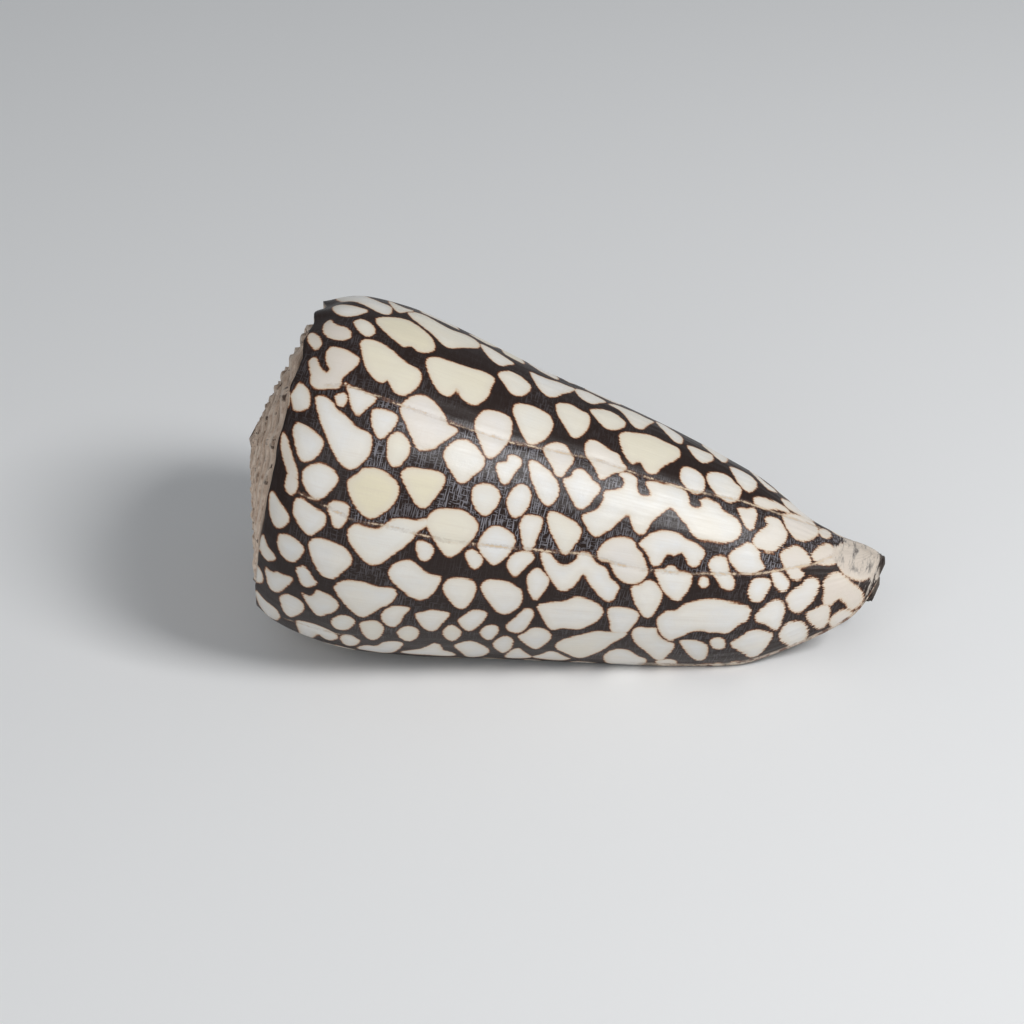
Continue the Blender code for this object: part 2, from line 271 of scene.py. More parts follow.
    (0, (518, 636), (526, 632), (532, 628), (541, 628), (549, 632), (551, 638), (545, 644), (537, 649),
      (530, 647), (523, 642)),
    (0, (537, 606), (546, 603), (556, 602), (566, 601), (574, 597), (584, 598), (594, 602), (601, 607),
      (603, 613), (598, 620), (590, 625), (580, 629), (572, 629), (562, 628), (552, 630), (546, 624),
      (541, 615)),
    (0.2, (556, 644), (564, 639), (576, 636), (588, 633), (598, 631), (610, 632), (622, 631), (627, 633),
      (622, 638), (612, 643), (604, 649), (596, 653), (588, 656), (580, 658), (572, 656), (563, 652),
      (557, 649)),
    (0, (609, 608), (618, 607), (628, 608), (636, 611), (639, 616), (635, 623), (630, 629), (625, 633),
      (612, 632), (610, 622), (608, 614)),
    (0, (604, 656), (610, 651), (620, 649), (630, 651), (638, 656), (646, 659), (644, 664), (634, 666),
      (620, 665), (606, 662)),
    (0, (532, 657), (542, 654), (550, 651), (558, 653), (566, 657), (570, 659), (560, 660), (545, 659)),
    (0, (632, 632), (638, 627), (648, 628), (656, 628), (657, 633), (661, 638), (668, 642), (674, 644),
      (672, 650), (667, 655), (662, 660), (655, 659), (647, 652), (639, 646), (634, 640)),
    (0, (657, 620), (662, 614), (668, 611), (676, 611), (683, 605), (692, 602), (700, 600), (712, 599),
      (724, 601), (732, 603), (742, 605), (750, 609), (749, 615), (746, 621), (738, 624), (734, 628),
      (726, 633), (718, 632), (710, 632), (700, 630), (690, 632), (682, 636), (676, 638), (671, 641),
      (664, 637), (659, 630)),
    (0, (632, 586), (640, 585), (647, 580), (653, 581), (658, 586), (662, 593), (661, 600), (657, 608),
      (652, 616), (646, 618), (640, 612), (635, 603), (632, 594)),
    (0, (655, 570), (664, 569), (668, 566), (674, 566), (679, 571), (686, 572), (692, 575), (691, 582),
      (688, 590), (682, 598), (678, 601), (671, 598), (664, 592), (659, 583)),
    (0, (639, 544), (645, 538), (652, 533), (660, 531), (670, 531), (680, 534), (686, 539), (694, 542),
      (702, 548), (705, 554), (701, 561), (696, 567), (690, 566), (686, 559), (682, 553), (678, 554),
      (674, 556), (670, 554), (666, 555), (663, 561), (658, 566), (653, 566), (650, 560), (646, 552)),
    (-0.3, (597, 553), (602, 545), (608, 540), (618, 537), (628, 538), (634, 541), (637, 548), (642, 554),
      (645, 562), (648, 570), (646, 577), (640, 582), (631, 584), (624, 582), (617, 577), (613, 570),
      (609, 562), (603, 562), (599, 559)),
    (0, (541, 552), (549, 553), (556, 561), (562, 565), (570, 564), (577, 558), (580, 552), (590, 553),
      (592, 558), (598, 564), (604, 567), (608, 572), (610, 578), (616, 583), (619, 588), (616, 594),
      (613, 600), (607, 601), (601, 597), (595, 590), (589, 583), (584, 574), (581, 577), (576, 583),
      (571, 588), (564, 591), (558, 589), (552, 581), (546, 571), (542, 561)),
    (0.1, (582, 516), (590, 512), (598, 508), (603, 500), (604, 492), (612, 490), (622, 488), (624, 480),
      (619, 474), (626, 472), (633, 475), (637, 479), (637, 488), (641, 495), (651, 495), (648, 488),
      (646, 482), (656, 481), (664, 484),
      (672, 484), (680, 487), (686, 491), (689, 498), (690, 505), (697, 508), (702, 506), (700, 500),
      (707, 498), (713, 501), (719, 504), (722, 510), (730, 515), (738, 520), (741, 529), (739, 536),
      (732, 541), (722, 543), (710, 541), (700, 540), (692, 534), (686, 524), (680, 518), (676, 512),
      (670, 508), (664, 512), (656, 518), (650, 524), (646, 532), (640, 535), (634, 530), (631, 522),
      (628, 514), (622, 519), (616, 524), (610, 530), (602, 534), (596, 537), (590, 532), (585, 524)),
    (0.7, (620, 434), (628, 432), (636, 433), (645, 434), (655, 437), (663, 441), (672, 445), (679, 449),
      (680, 456), (675, 460), (668, 464), (661, 468), (657, 473), (650, 474), (645, 470), (641, 463),
      (637, 462), (633, 464), (628, 460), (623, 451), (620, 442)),
    (0.4, (590, 410), (597, 409), (606, 410), (614, 413), (621, 418), (626, 423), (622, 428), (614, 430),
      (606, 428), (600, 423), (595, 417)),
    (0.4, (557, 404), (564, 403), (572, 405), (580, 410), (588, 414), (590, 420), (588, 428), (583, 434),
      (577, 438), (571, 436), (566, 428), (561, 420), (557, 412)),
    (0.2, (608, 404), (616, 405), (626, 409), (636, 413), (646, 418), (654, 422), (648, 425), (643, 429),
      (636, 428), (630, 422), (624, 414), (616, 408)),
    (-0.3, (585, 445), (590, 440), (597, 441), (604, 446), (612, 451), (618, 454), (622, 462), (627, 468),
      (622, 472), (614, 473), (606, 478), (600, 479), (596, 470), (591, 462), (586, 455)),
    (-0.4, (543, 449), (550, 444), (558, 443), (566, 446), (570, 452), (574, 458), (572, 464), (567, 470),
      (562, 477), (556, 475), (552, 466), (547, 458)),
    (0, (563, 479), (571, 477), (574, 470), (582, 469), (588, 474), (594, 481), (600, 486), (599, 493),
      (594, 498), (590, 504), (584, 509), (577, 508), (572, 500), (567, 490)),
    (0, (682, 468), (688, 467), (696, 470), (702, 475), (705, 482), (704, 490), (698, 494), (691, 492),
      (685, 486), (680, 478)),
    (0, (656, 422), (662, 424), (670, 429), (678, 434), (683, 439), (681, 444), (674, 441), (668, 435),
      (662, 429)),
    (0.2, (687, 446), (694, 447), (703, 451), (712, 455), (713, 460), (706, 463), (700, 462), (693, 455)),
    (0, (700, 441), (712, 448), (722, 454), (728, 459), (724, 463), (718, 459), (710, 452), (703, 446)),
    (0, (730, 467), (738, 469), (746, 473), (753, 478), (757, 484), (754, 490), (748, 492), (742, 487),
      (736, 479)),
    (0.1, (707, 474), (714, 472), (722, 473), (730, 477), (735, 483), (741, 488), (740, 495), (736, 501),
      (728, 502), (720, 497), (712, 489), (708, 482)),
    (0, (750, 471), (758, 476), (766, 483), (774, 489), (776, 492), (768, 489), (760, 481), (753, 474)),
    (-0.3, (738, 508), (746, 509), (754, 508), (757, 514), (755, 522), (752, 530), (747, 528),
      (742, 519)),
    (-0.2, (753, 541), (757, 533), (763, 530), (768, 524), (765, 519), (770, 517), (778, 519), (783, 526),
      (787, 534), (784, 542), (778, 548), (772, 552), (764, 550), (757, 547)),
    (-0.4, (754, 498), (762, 497), (770, 500), (778, 503), (786, 508), (790, 513), (784, 511), (776, 509),
      (768, 509), (760, 507), (755, 503)),
    (-0.5, (783, 515), (792, 514), (800, 516), (810, 520), (816, 526), (818, 533), (812, 538), (803, 541),
      (795, 538), (789, 531), (785, 523)),
    (-0.3, (782, 499), (790, 502), (799, 508), (808, 515), (815, 521), (808, 520), (800, 515), (791, 510),
      (785, 505)),
    (-0.5, (819, 531), (824, 529), (830, 533), (829, 537), (823, 537)),
    (0, (729, 556), (733, 551), (740, 547), (748, 543), (754, 546), (759, 552), (760, 560), (764, 568),
      (758, 572), (748, 574), (740, 572), (734, 566), (730, 561)),
    (0, (709, 563), (714, 557), (722, 556), (727, 560), (728, 567), (730, 573), (734, 581), (733, 588),
      (728, 590), (721, 586), (716, 578), (711, 571)),
    (0, (699, 580), (703, 576), (708, 579), (708, 585), (703, 588), (700, 585)),
    (0, (749, 588), (754, 580), (762, 578), (769, 580), (770, 586), (765, 594), (760, 601), (753, 600),
      (749, 594)),
    (0, (772, 572), (778, 571), (784, 576), (789, 583), (787, 589), (782, 591), (776, 586), (773, 579)),
    (-0.5, (781, 553), (788, 549), (796, 546), (803, 550), (808, 556), (811, 562), (806, 566), (799, 568),
      (803, 574), (800, 579), (793, 579), (788, 572), (783, 563)),
    (-0.7, (812, 556), (816, 550), (822, 546), (829, 544), (834, 549), (838, 556), (836, 562), (828, 564),
      (819, 563)),
    (-0.2, (787, 597), (794, 590), (802, 586), (806, 580), (812, 578), (818, 582), (817, 591), (812, 600),
      (806, 607), (799, 612), (792, 610), (788, 603)),
    (-0.7, (824, 583), (830, 576), (838, 573), (846, 578), (852, 584), (860, 590), (863, 598), (858, 606),
      (851, 609), (846, 604), (841, 598), (835, 600), (829, 606), (824, 602), (825, 592)),
    (-0.3, (807, 614), (815, 610), (822, 606), (828, 606), (829, 614), (827, 622), (822, 628), (815, 626),
      (810, 620)),
    (-0.4, (830, 620), (836, 614), (843, 610), (850, 612), (851, 618), (845, 624), (837, 628),
      (832, 626)),
    (0, (756, 616), (763, 608), (770, 603), (777, 600), (783, 604), (784, 612), (781, 620), (778, 629),
      (772, 628), (765, 623), (758, 621)),
    (0, (731, 643), (740, 638), (748, 632), (757, 630), (766, 632), (772, 635), (769, 642), (764, 649),
      (758, 655), (751, 657), (744, 653), (735, 648)),
    (0, (780, 634), (786, 625), (793, 622), (801, 623), (807, 629), (806, 637), (800, 643), (792, 646),
      (785, 643), (781, 639)),
    (0, (711, 640), (718, 638), (724, 641), (724, 647), (718, 649), (712, 646)),
    (0, (680, 641), (688, 640), (697, 641), (706, 645), (707, 652), (704, 659), (697, 660), (690, 655),
      (684, 648)),
    (0, (656, 661), (668, 659), (676, 661), (674, 666), (664, 666), (658, 664)),
    (-0.6, (283, 432), (288, 440), (292, 455), (296, 466), (298, 478), (290, 477), (284, 462), (281, 445)),
    (-0.6, (284, 385), (289, 386), (290, 396), (288, 408), (283, 404), (281, 394)),
    (-0.8, (836, 552), (842, 545), (852, 544), (866, 550), (876, 560), (874, 572), (862, 580), (850, 577),
     (842, 570), (838, 561)),
)

# Growth scars: lines across the visible side, read the same way
SCARS = (
    ((325, 385), (348, 385), (398, 404), (459, 425), (512, 442), (542, 448), (600, 460), (640, 475),
     (690, 490), (740, 500), (790, 517), (830, 530)),
    ((299, 492), (331, 509), (356, 522), (384, 526), (450, 542), (545, 551), (586, 554), (616, 564),
     (643, 570), (689, 574), (758, 574), (792, 568), (815, 564), (836, 554), (861, 538)),
    ((284, 619), (310, 627), (335, 634), (358, 637)),
)

# Pattern building, in metres
OUTLINE_CUTS = 3
OVER_THE_EDGE = 0.0015
PATCH_GROWTH = 0.08
PATCH_UNEVENNESS = 0.03
LAYERS = 5
LAYER_MARGIN = 0.0018
FAR_OUTSIDE = 0.002
CELL_SPACING = 0.0058
CELL_GAP = 0.0011
CELLS_LEFT_OUT = 0.05
CELLS_NOTCHED = 0.35
SMALLEST_CELL = 0.0012
SPACING_AT_TIP = 0.55
SPACING_ADDED = 0.45
NARROW_END = 0.047
NARROW_SPAN = 0.07
CELL_CLEARANCE = 0.45
CELL_SHORTENING = 0.25
CELL_REACH = 2.2
CELL_TINTS = (0.0, 0.0, 0.2, 0.5, -0.3)
CELL_SEED = 11
TURNED_AWAY = -0.02
CELLS_FROM = 0.01
CELLS_TO = 0.97
SAME_SIDE = 0.1

# Chips out of the shoulder's rim: pixel, width and drop in metres
CHIPS = (
    ((326, 303), 0.0035, 0.0009),
    ((322, 318), 0.0016, 0.0006),
    ((309, 352), 0.0018, 0.0004),
)

# Fine relief, in metres
GROWTH_RELIEF = 0.00003
SCAR_DEPTH = 0.00012
SCAR_WIDTH = 0.0004
# Band between the long scars that gets the most painted sheen on the dark network
SHEEN_MARGIN = 0.012
SHEEN_FADE = 0.02
SHEEN_START = 0.10
SHEEN_START_FADE = 0.06
# Relief and wear of the spire and tip
SPIRE_ROUGHNESS = 0.00022
SUTURE_DEPTH = 0.00035
SUTURE_SHARE = 0.16
TIP_PIXEL = (862, 556)
TIP_WEAR = 0.0074
END_WEAR = 0.0022
TIP_ROUGHNESS = 0.0002
WEAR_FADE = 0.003
TIP_RAGGED = 0.003
END_RAGGED = 0.002

# Colours, linear
WHITE_COOL = (0.78, 0.77, 0.75, 1.0)
WHITE_WARM = (0.82, 0.78, 0.71, 1.0)
CREAM = (0.78, 0.71, 0.53, 1.0)
PINKISH = (0.70, 0.60, 0.51, 1.0)
STREAK = (0.66, 0.57, 0.48, 1.0)
DARK = (0.019, 0.0095, 0.007, 1.0)
# Painted sheen: grey highlights laid into the colour of the dark network
PAINTED_SHEEN = (0.22, 0.21, 0.23, 1.0)
DARK_EDGE = (0.016, 0.008, 0.006)
RIM_BROWN = (0.065, 0.021, 0.010)
RIM_ORANGE = (0.26, 0.10, 0.042)
RIM_PALE = (0.66, 0.49, 0.33)
PATCH_EDGE = (0.70, 0.63, 0.53, 1.0)
SCAR_COLOUR = (0.66, 0.52, 0.37, 1.0)
SCAR_CRACK = (0.16, 0.075, 0.045, 1.0)
CHALK_DARK = (0.20, 0.13, 0.09)
CHALK_MID = (0.58, 0.43, 0.33)
CHALK_PALE = (0.84, 0.70, 0.58)
CHALK_STAIN = (0.07, 0.045, 0.035, 1.0)
# Painted shade in the spire's sutures, then painted highlight on its crests
SUTURE_PAINTED_SHADE = (0.16, 0.09, 0.055, 1.0)
CREST_PAINTED_HIGHLIGHT = (0.80, 0.70, 0.60, 1.0)
INSIDE_WHITE = (0.80, 0.77, 0.72, 1.0)
INSIDE_PINK = (0.76, 0.63, 0.55, 1.0)
FLOOR_COLOUR = (0.88, 0.88, 0.88, 1.0)
TIP_DARK = (0.10, 0.085, 0.08)
TIP_GREY = (0.34, 0.31, 0.28)
TIP_PALE = (0.66, 0.58, 0.50)
LIP_COLOUR = (0.66, 0.55, 0.44, 1.0)

# Studio light
LIGHTS = (
    ("key", (0.40, -0.18, 0.48), 0.20, 2.65),
    ("front", (-0.20, -0.60, 0.45), 0.6, 1.0),
)
SKY_COLOUR = (0.90, 0.95, 1.0, 1.0)
SKY_STRENGTH = 0.26


def smooth_curve(knots, where):
    """Smooth curve through the knots that never overshoots them."""
    x = np.array([knot[0] for knot in knots])
    y = np.array([knot[1] for knot in knots])
    step = np.diff(x)
    slope = np.diff(y) / step
    tangent = np.zeros(len(x))
    tangent[0] = slope[0]
    tangent[-1] = slope[-1]
    for k in range(1, len(x) - 1):
        if slope[k - 1] * slope[k] > 0:
            before = 2 * step[k] + step[k - 1]
            after = step[k] + 2 * step[k - 1]
            tangent[k] = (before + after) / (before / slope[k - 1] + after / slope[k])
    place_in = np.clip(where, x[0], x[-1])
    k = np.clip(np.searchsorted(x, place_in) - 1, 0, len(step) - 1)
    t = (place_in - x[k]) / step[k]
    return (
        y[k] * (1 + 2 * t) * (1 - t) ** 2
        + tangent[k] * step[k] * t * (1 - t) ** 2
        + y[k + 1] * t * t * (3 - 2 * t)
        + tangent[k + 1] * step[k] * t * t * (t - 1)
    )


def smooth_step(t):
    t = np.clip(t, 0, 1)
    return t * t * (3 - 2 * t)


def sweep(along):
    from_tip = 1000 * BODY_LENGTH * (1 - along)
    notch = NOTCH_SWEEP / (from_tip + NOTCH_OFFSET) ** NOTCH_POWER
    return notch + SHOULDER_SWEEP * np.maximum(1 - along / SHOULDER_SWEEP_END, 0) ** 2


def outer_radius(age, along):
    ratio = smooth_curve(WHORL_RATIO, along)
    full = smooth_curve(UNDERSIDE_FULLNESS, along)
    swell = 1 + full * smooth_step((-age - FULLNESS_START) / FULLNESS_SPAN)
    return smooth_curve(LIP_PROFILE, along) * ratio ** (-age) * swell


def crest_radius(age):
    last = outer_radius(np.maximum(age, -1.0), np.zeros_like(age))
    return last * WHORL_GROWTH ** (np.minimum(age, -1.0) + 1)


def crest_height(age):
    return BODY_LENGTH + SPIRE_HEIGHT * (1 - WHORL_GROWTH ** age)


def wall_thickness(age, along):
    room = outer_radius(age, along) - outer_radius(age - 1, along)
    return 1 / (1 / WALL + WALL_CROWDING / room)


def place(height, radius, age, along):
    angle = np.radians(LIP_ANGLE + 360 * age - sweep(along))
    dip = math.radians(AXIS_DIP)
    up = radius * np.cos(angle)
    return np.stack(
        [
            -height * math.cos(dip) + up * math.sin(dip),
            -radius * np.sin(angle),
            height * math.sin(dip) + up * math.cos(dip),
        ],
        axis=-1,
    )


def wall_place(age, along, radius, lift=0.0):
    """Point of the wall at this age, place along the aperture and distance from the axis."""
    return place(crest_height(age) * (1 - along) + lift, radius, age, along)


def axis_place(height):
    """Point on the spire's axis, or an offset of this length along it."""
    zero = np.zeros_like(height)
    return place(height, zero, zero, zero)


def lattice_value(cell, seed):
    """A fixed pseudo-random value in 0..1 for every integer cell."""
    mixed = cell[..., 0] * 374761393 + cell[..., 1] * 668265263 + cell[..., 2] * 1274126177
    mixed = (mixed + seed * 144665) & 0xFFFFFFFF
    mixed = ((mixed ^ (mixed >> 13)) * 1103515245) & 0xFFFFFFFF
    mixed = mixed ^ (mixed >> 16)
    return (mixed & 0xFFFF) / 65535.0


def noise(points, size, seed):
    """Smooth value noise in -1..1 over points, with features of about this size."""
    where = points / size
    cell = np.floor(where).astype(np.int64)
    t = where - cell
    t = t * t * (3 - 2 * t)
    total = 0.0
    for dx in (0, 1):
        for dy in (0, 1):
            for dz in (0, 1):
                weight = (
                    np.abs(1 - dx - t[..., 0]) * np.abs(1 - dy - t[..., 1]) * np.abs(1 - dz - t[..., 2])
                )
                total = total + weight * lattice_value(cell + np.array([dx, dy, dz]), seed)
    return 2 * total - 1


def ages_of_a_whorl():
    fine = np.linspace(0, -FINE_AGE, FINE_STEPS + 1)
    coarse = np.linspace(-FINE_AGE, -1, COARSE_STEPS + 1)
    return np.concatenate([fine, coarse[1:]])


def rows_along():
    suture = SUTURE_DROP / BODY_LENGTH
    ceiling = CEILING_DROP / BODY_LENGTH
    return np.concatenate([
        np.linspace(0, suture, EDGE_ROWS + 1),
        np.linspace(suture, ceiling, EDGE_ROWS + 1)[1:],
        np.linspace(ceiling, 1, BODY_ROWS + 1)[1:],
    ])


AGES = ages_of_a_whorl()
ALONG = rows_along()
INNER_AGES = np.linspace(0, -CAVITY_AGE, INNER_STEPS + 1)
SUTURE_ROW = EDGE_ROWS
CEILING_ROW = 2 * EDGE_ROWS
LAST_ROW = len(ALONG) - 1


def knob(age):
    """Height of the shoulder's knobs, worn away on the side that faces the camera."""
    size = KNOB_HEIGHT * np.minimum(KNOB_AT_LIP - KNOB_GAIN * age, 1.0) * WHORL_GROWTH ** age
    turned = np.radians(LIP_ANGLE + 360 * age - KNOBS_KEPT_AT)
    kept = KNOBS_WORN + (1 - KNOBS_WORN) * smooth_step(0.5 + np.cos(turned))
    wave = 0.5 + 0.5 * np.cos(2 * np.pi * KNOBS_PER_WHORL * age)
    return size * kept * wave ** KNOB_SHARPNESS


class Surface:
    """Vertices in blocks, each a grid of indices, and the faces between them."""

    def __init__(self):
        self.points = []
        self.age = []
        self.along = []
        self.kind = []
        self.ramp = []
        self.count = 0
        self.faces = []

    def grid(self, points, age, along, kind, ramp=0.0):
        shape = points.shape[:-1]
        number = int(np.prod(shape))
        self.points.append(points.reshape(-1, 3))
        self.age.append(np.broadcast_to(age, shape).reshape(-1))
        self.along.append(np.broadcast_to(along, shape).reshape(-1))
        self.kind.append(np.full(number, kind))
        self.ramp.append(np.broadcast_to(ramp, shape).reshape(-1))
        index = np.arange(self.count, self.count + number).reshape(shape)
        self.count += number
        return index

    def quads(self, index):
        """Faces of a grid whose first direction is age and second goes down the wall."""
        a = index[:-1, :-1].reshape(-1)
        b = index[:-1, 1:].reshape(-1)
        c = index[1:, 1:].reshape(-1)
        d = index[1:, :-1].reshape(-1)
        self.faces += np.stack([a, b, c, d], axis=1).tolist()

    def bridge(self, first, first_age, second, second_age):
        """Triangles between two edges with different steps, both from young to old."""
        i = j = 0
        while i < len(first) - 1 or j < len(second) - 1:
            take_first = j == len(second) - 1 or (
                i < len(first) - 1 and first_age[i + 1] >= second_age[j + 1]
            )
            if take_first:
                self.faces.append([int(first[i]), int(second[j]), int(first[i + 1])])
                i += 1
            else:
                self.faces.append([int(first[i]), int(second[j]), int(second[j + 1])])
                j += 1

    def ring_to(self, ring, centre):
        for here, there in zip(ring, ring[1:] + ring[:1]):
            self.faces.append([int(here), int(centre), int(there)])


OUTER, INNER, SPIRE = 0, 1, 2


def add_body(surface):
    """Last whorl from the lip back."""
    age = AGES[:, None]
    along = ALONG[None, :]
    fade = np.clip(1 - along / (2 * CEILING_DROP / BODY_LENGTH), 0, 1) ** 2
    bump = knob(age) * fade
    radius = outer_radius(age, along) + KNOB_LEAN * bump
    body = surface.grid(wall_place(age, along, radius, bump), age, along, OUTER)
    surface.quads(body)
    return body


def add_cavity(surface, body):
    """The older whorl that shows inside the aperture, and the cavity's own wall."""
    along = ALONG[None, CEILING_ROW:]
    age = INNER_AGES[1:, None] - 1
    old = surface.grid(wall_place(age, along, outer_radius(age, along)), age, along, INNER)
    old = np.concatenate([body[-1:, CEILING_ROW:], old])
    surface.quads(old)
    age = INNER_AGES[:, None]
    radius = outer_radius(age, along) - wall_thickness(age, along)
    inner = surface.grid(wall_place(age, along, radius), age, along, INNER)
    surface.quads(inner[::-1])
    surface.quads(np.stack([inner[:, 0], old[:, 0]], axis=1)[::-1])
    surface.quads(np.stack([inner[-1], old[-1]], axis=0))
    return old, inner


def add_spire(surface, body):
    """Ramps and risers wound in to the apex."""
    wound = np.concatenate([AGES[:-1] - k for k in range(math.ceil(WHORLS))])
    wound = wound[wound >= -WHORLS - 1e-9]
    level = np.zeros_like(wound)
    shrink = crest_radius(wound - 1) / crest_radius(np.array(-1.0))
    foot_radius = outer_radius(np.array(-1.0), SUTURE_DROP / BODY_LENGTH) * shrink
    foot = place(crest_height(wound - 1) - SUTURE_DROP * shrink, foot_radius, wound - 1, level)
    bump = knob(wound)
    crest = wall_place(wound, level, crest_radius(wound) + KNOB_LEAN * bump, bump)
    across = np.linspace(0, 1, RAMP_ROWS + 1)[None, :, None]
    hollow = axis_place(-RAMP_HOLLOW * WHORL_GROWTH ** wound)
    swell = axis_place(KNOB_SWELL * bump)
    ramp = crest[:, None] * (1 - across) + foot[:, None] * across
    ramp = ramp + hollow[:, None] * 4 * across * (1 - across)
    ramp = ramp + swell[:, None] * np.sin(np.pi * np.minimum(across * KNOB_REACH, 1.0))
    ramp_index = surface.grid(ramp[:, 1:-1], wound[:, None], 0.0, SPIRE, across[:, 1:-1, 0])

    whorl = len(AGES) - 1
    total = len(wound)
    risers = total - whorl
    foot_index = surface.grid(foot[1:], wound[1:], 0.0, SPIRE, 1.0)
    foot_index = np.concatenate([[body[-1, SUTURE_ROW]], foot_index])
    crest_index = surface.grid(crest[whorl + 1:], wound[whorl + 1:], 0.0, SPIRE)
    crest_index = np.concatenate([body[:, 0], crest_index])
    surface.quads(np.concatenate(
        [crest_index[:total, None], ramp_index, foot_index[:, None]], axis=1
    )[::-1])
    down = np.linspace(0, 1, EDGE_ROWS + 1)[None, 1:-1, None]
    riser = crest[whorl:, None] * (1 - down) + foot[:risers, None] * down
    riser_index = surface.grid(riser[1:], wound[whorl + 1:, None], 0.0, SPIRE, down[:, :, 0])
    riser_index = np.concatenate([body[-1:, 1:SUTURE_ROW], riser_index])
    surface.quads(np.concatenate(
        [crest_index[whorl:total, None], riser_index, foot_index[:risers, None]], axis=1
    ))

    apex = surface.grid(axis_place(np.array([BODY_LENGTH + SPIRE_HEIGHT])), -WHORLS, 0.0, SPIRE)[0]
    ring = foot_index[risers - 1:].tolist() + ramp_index[-1, ::-1].tolist()
    ring += [crest_index[total - 1]] + riser_index[-1].tolist()
    surface.ring_to(ring[::-1], apex)
    return ramp_index


def add_edges(surface, body, old, inner, ramp_index):
    """Lip edge, end of the ramp above it, edge of the notch and tip of the columella."""
    surface.quads(np.stack([inner[0], body[0, CEILING_ROW:]], axis=0))
    end = body[0, :CEILING_ROW + 1].tolist() + [int(inner[0, 0])]
    end += body[-1, SUTURE_ROW:CEILING_ROW + 1][::-1].tolist()
    end += ramp_index[0, ::-1].tolist()
    surface.faces.append(end)
    lip_steps = int(np.searchsorted(-AGES, CAVITY_AGE))
    edge = body[:lip_steps + 1, LAST_ROW]
    surface.bridge(inner[:, -1], INNER_AGES, edge, AGES[:lip_steps + 1])
    tip = surface.grid(axis_place(np.array([-COLUMELLA_TIP])), -1.0, 1.0, OUTER)[0]
    ring = body[lip_steps:, LAST_ROW].tolist() + old[1:, -1].tolist() + [inner[-1, -1]]
    surface.ring_to(ring, tip)


def grow_wall():
    """The whole closed surface of the shell."""
    surface = Surface()
    body = add_body(surface)
    old, inner = add_cavity(surface, body)
    ramp_index = add_spire(surface, body)
    add_edges(surface, body, old, inner, ramp_index)
    return surface


def camera_axes():
    yaw = math.radians(CAMERA_YAW)
    rise = math.radians(CAMERA_ELEVATION)
    forward = np.array([-math.sin(yaw) * math.cos(rise), math.cos(yaw) * math.cos(rise), -math.sin(rise)])
    right = np.array([math.cos(yaw), math.sin(yaw), 0.0])
    return forward, right, np.cross(right, forward)


def pixel_ray(pixel):
    """Direction from the camera through a pixel of the photograph."""
    forward, right, up = camera_axes()
    scale = CAMERA_LENS / SENSOR_WIDTH * PHOTO_SIZE
    x = (pixel[0] - PHOTO_SIZE / 2 - PHOTO_OFFSET[0]) / scale
    y = (PHOTO_SIZE / 2 + PHOTO_OFFSET[1] - pixel[1]) / scale
    return forward + right * x + up * y


def closed_curve(corners, cuts):
    """Smooth closed outline through the corners."""
    corners = np.array(corners, float)
    before = np.roll(corners, 1, axis=0)
    after = np.roll(corners, -1, axis=0)
    later = np.roll(corners, -2, axis=0)
    rows = []
    for t in np.arange(cuts) / cuts:
        rows.append(0.5 * (
            2 * corners + (after - before) * t
            + (2 * before - 5 * corners + 4 * after - later) * t ** 2
            + (3 * corners - before - 3 * after + later) * t ** 3
        ))
    return np.stack(rows, axis=1).reshape(-1, corners.shape[1])


def inside_distance(where, outline):
    """Distance from each flat point to a closed outline, positive inside it."""
    nearest = np.full(len(where), np.inf)
    inside = np.zeros(len(where), bool)
    for start, end in zip(outline, np.roll(outline, -1, axis=0)):
        edge = end - start
        offset = where - start
        t = np.clip(offset @ edge / max(edge @ edge, 1e-18), 0, 1)
        nearest = np.minimum(nearest, np.linalg.norm(offset - t[:, None] * edge, axis=1))
        crosses = (start[1] > where[:, 1]) != (end[1] > where[:, 1])
        rise = end[1] - start[1]
        if rise != 0:
            at = start[0] + (where[:, 1] - start[1]) * edge[0] / rise
            inside ^= crosses & (where[:, 0] < at)
    return np.where(inside, nearest, -nearest)


class Patch:
    """A pale patch of the pattern: an outline on the plane that touches the shell at its middle."""

    def __init__(self, tint, outline, normal):
        self.tint = tint
        self.middle = outline.mean(axis=0)
        self.normal = normal / np.linalg.norm(normal)
        across = np.cross(self.normal, (1.0, 0.0, 0.0))
        self.across = across / np.linalg.norm(across)
        self.along = np.cross(self.across, self.normal)
        self.outline = outline
        self.flat = self.flatten(outline)
        self.reach = np.linalg.norm(outline - self.middle, axis=1).max()

    def flatten(self, where):
        offset = where - self.middle
        return np.stack([offset @ self.along, offset @ self.across], axis=-1)


def patches_seen(tree, camera_place):
    """The listed patches, brought from the photograph's pixels onto the shell."""
    found = []
    for tint, *corners in PALE_PATCHES:
        outline = closed_curve(corners, OUTLINE_CUTS)
        middle = outline.mean(axis=0)
        placed = []
        facings = []
        for pixel in outline:
            for pull in np.arange(0, 1, 0.04):
                ray = pixel_ray(pixel * (1 - pull) + middle * pull)
                hit = tree.ray_cast(Vector(camera_place), Vector(ray))
                if hit[0] is not None:
                    away = Vector(ray).normalized()
                    away = away - away.dot(hit[1]) * hit[1]
                    placed.append(hit[0] + away * (OVER_THE_EDGE if pull > 0 else 0.0))
                    facings.append(hit[1])
                    break
        placed = np.array(placed)
        if len(placed) < 6:
            continue
        found.append(Patch(tint, placed, np.array(facings).mean(axis=0)))
    return found


